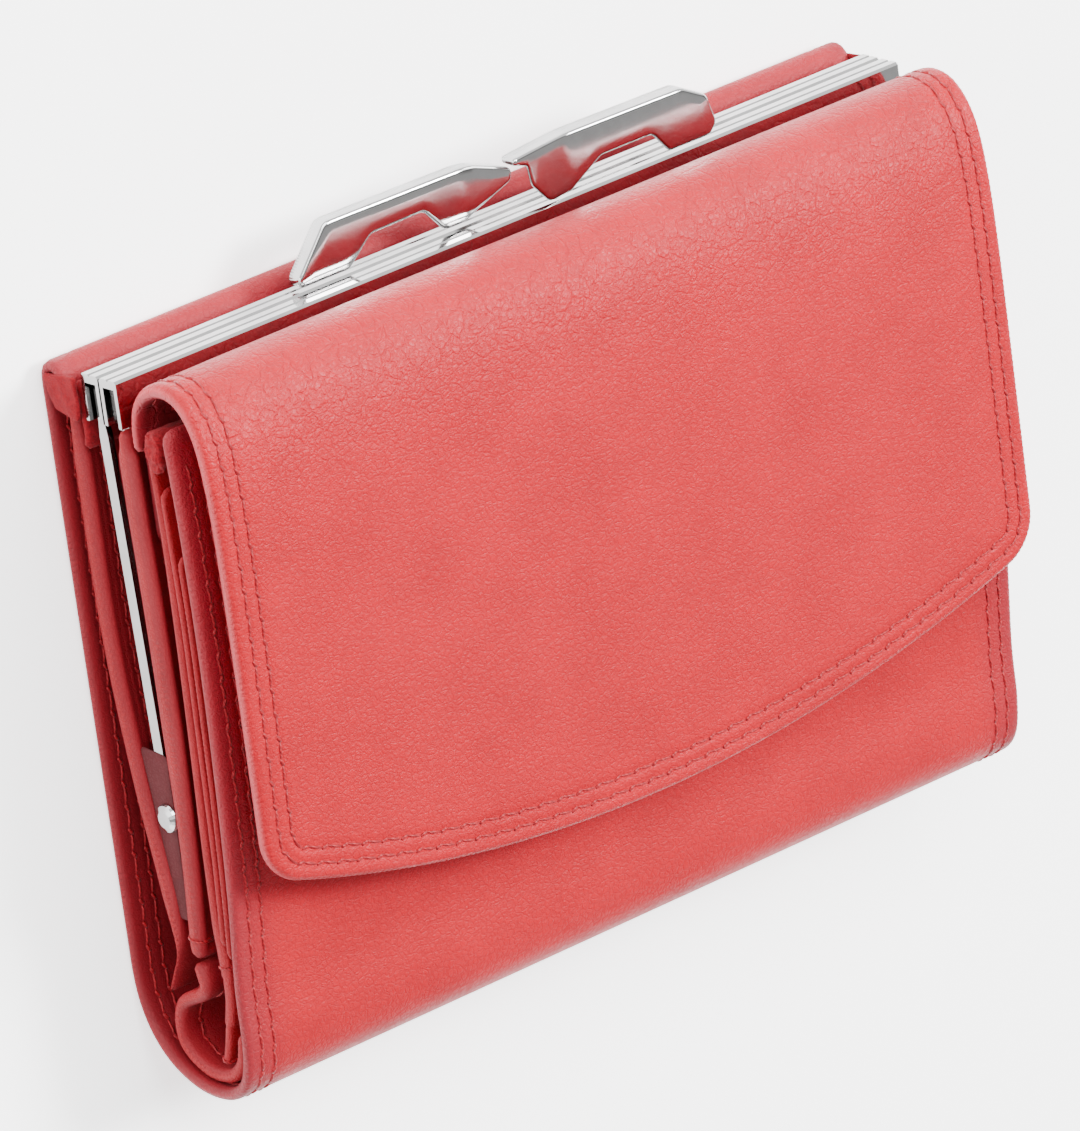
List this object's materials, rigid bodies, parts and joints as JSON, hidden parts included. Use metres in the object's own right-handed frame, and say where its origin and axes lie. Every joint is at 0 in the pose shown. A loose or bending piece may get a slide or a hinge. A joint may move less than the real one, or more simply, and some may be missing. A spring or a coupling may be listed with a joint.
{
  "type": "coin purse",
  "caption": "Compact leather purse with a kiss-lock coin pouch, a card section, a bill compartment and a snap-down front flap, closed and lying on its back.",
  "frame": {"origin": "under the middle of the whole purse as it lies on its back: the centre in X and Y, on the rear cover's outer face in Z", "axes": "+X along the spine and the clasp, towards the front lever; +Y from the spine up to the clasp; +Z from the rear cover out through the flap"},
  "size_m": [0.124, 0.0986, 0.0295],
  "materials": {
    "cover_leather": "fine pebbled grain, soft sheen, red",
    "leaf_leather": "thin smooth leather with turned edges, red",
    "edge_leather": "rough skived leather edge, dark red",
    "lining_leather": "matt lining leather, dark red",
    "nickel": "polished nickel plate"
  },
  "bodies": {
    "root": {"rear_cover": "cover_leather", "spine_wrap": "cover_leather", "cover_top_hem": "cover_leather", "rear_frame_welt": "edge_leather", "bill_divider_rear": "leaf_leather", "bill_divider_fold": "leaf_leather", "coin_front_leaf_lower": "leaf_leather", "coin_pouch_rear_lining": "lining_leather", "coin_pouch_gusset_left": "lining_leather", "coin_pouch_gusset_right": "lining_leather", "rear_rail": "nickel", "rear_arm_left": "nickel", "rear_arm_right": "nickel", "hinge_rivet_left": "nickel", "hinge_rivet_right": "nickel", "rear_lever": "nickel"},
    "coin_front": {"coin_front_leaf": "leaf_leather", "coin_pouch_front_lining": "lining_leather", "front_rail": "nickel", "front_arm_left": "nickel", "front_arm_right": "nickel", "front_lever": "nickel", "flap_hem": "cover_leather"},
    "front_section": {"front_cover": "cover_leather", "bill_divider_front": "leaf_leather", "card_pocket_1": "leaf_leather", "card_pocket_2": "leaf_leather", "card_pocket_3": "leaf_leather", "pocket_binding": "edge_leather", "stud_post": "nickel"},
    "flap_root": {"flap_rear_leg": "cover_leather", "flap_bend": "cover_leather"},
    "flap": {"flap_panel": "cover_leather", "flap_lining": "lining_leather", "stud_socket": "nickel"}
  },
  "joints": [
    {"name": "coin_frame", "type": "hinge", "parent": "root", "child": "coin_front", "pos_m": [0, -0.0143, 0.0106], "axis": [1, 0, 0], "range_deg": [0, 30], "deforming": ["coin_pouch_gusset_left", "coin_pouch_gusset_right"]},
    {"name": "section_fold", "type": "hinge", "parent": "root", "child": "front_section", "pos_m": [0, -0.0393, 0.005], "axis": [1, 0, 0], "range_deg": [0, 20], "deforming": ["spine_wrap", "bill_divider_fold"]},
    {"name": "flap_root_bend", "type": "hinge", "parent": "coin_front", "child": "flap_root", "pos_m": [0, 0.0327, 0.0152], "axis": [1, 0, 0], "range_deg": [-12, 0]},
    {"name": "flap_lift", "type": "hinge", "parent": "flap_root", "child": "flap", "pos_m": [0, 0.0352, 0.0215], "axis": [-1, 0, 0], "range_deg": [0, 140], "deforming": ["flap_bend"]}
  ],
  "couplings": [
    {"joint": "section_fold", "follows": "coin_frame", "ratio": 0.635},
    {"joint": "flap_root_bend", "follows": "coin_frame", "ratio": -0.365}
  ]
}
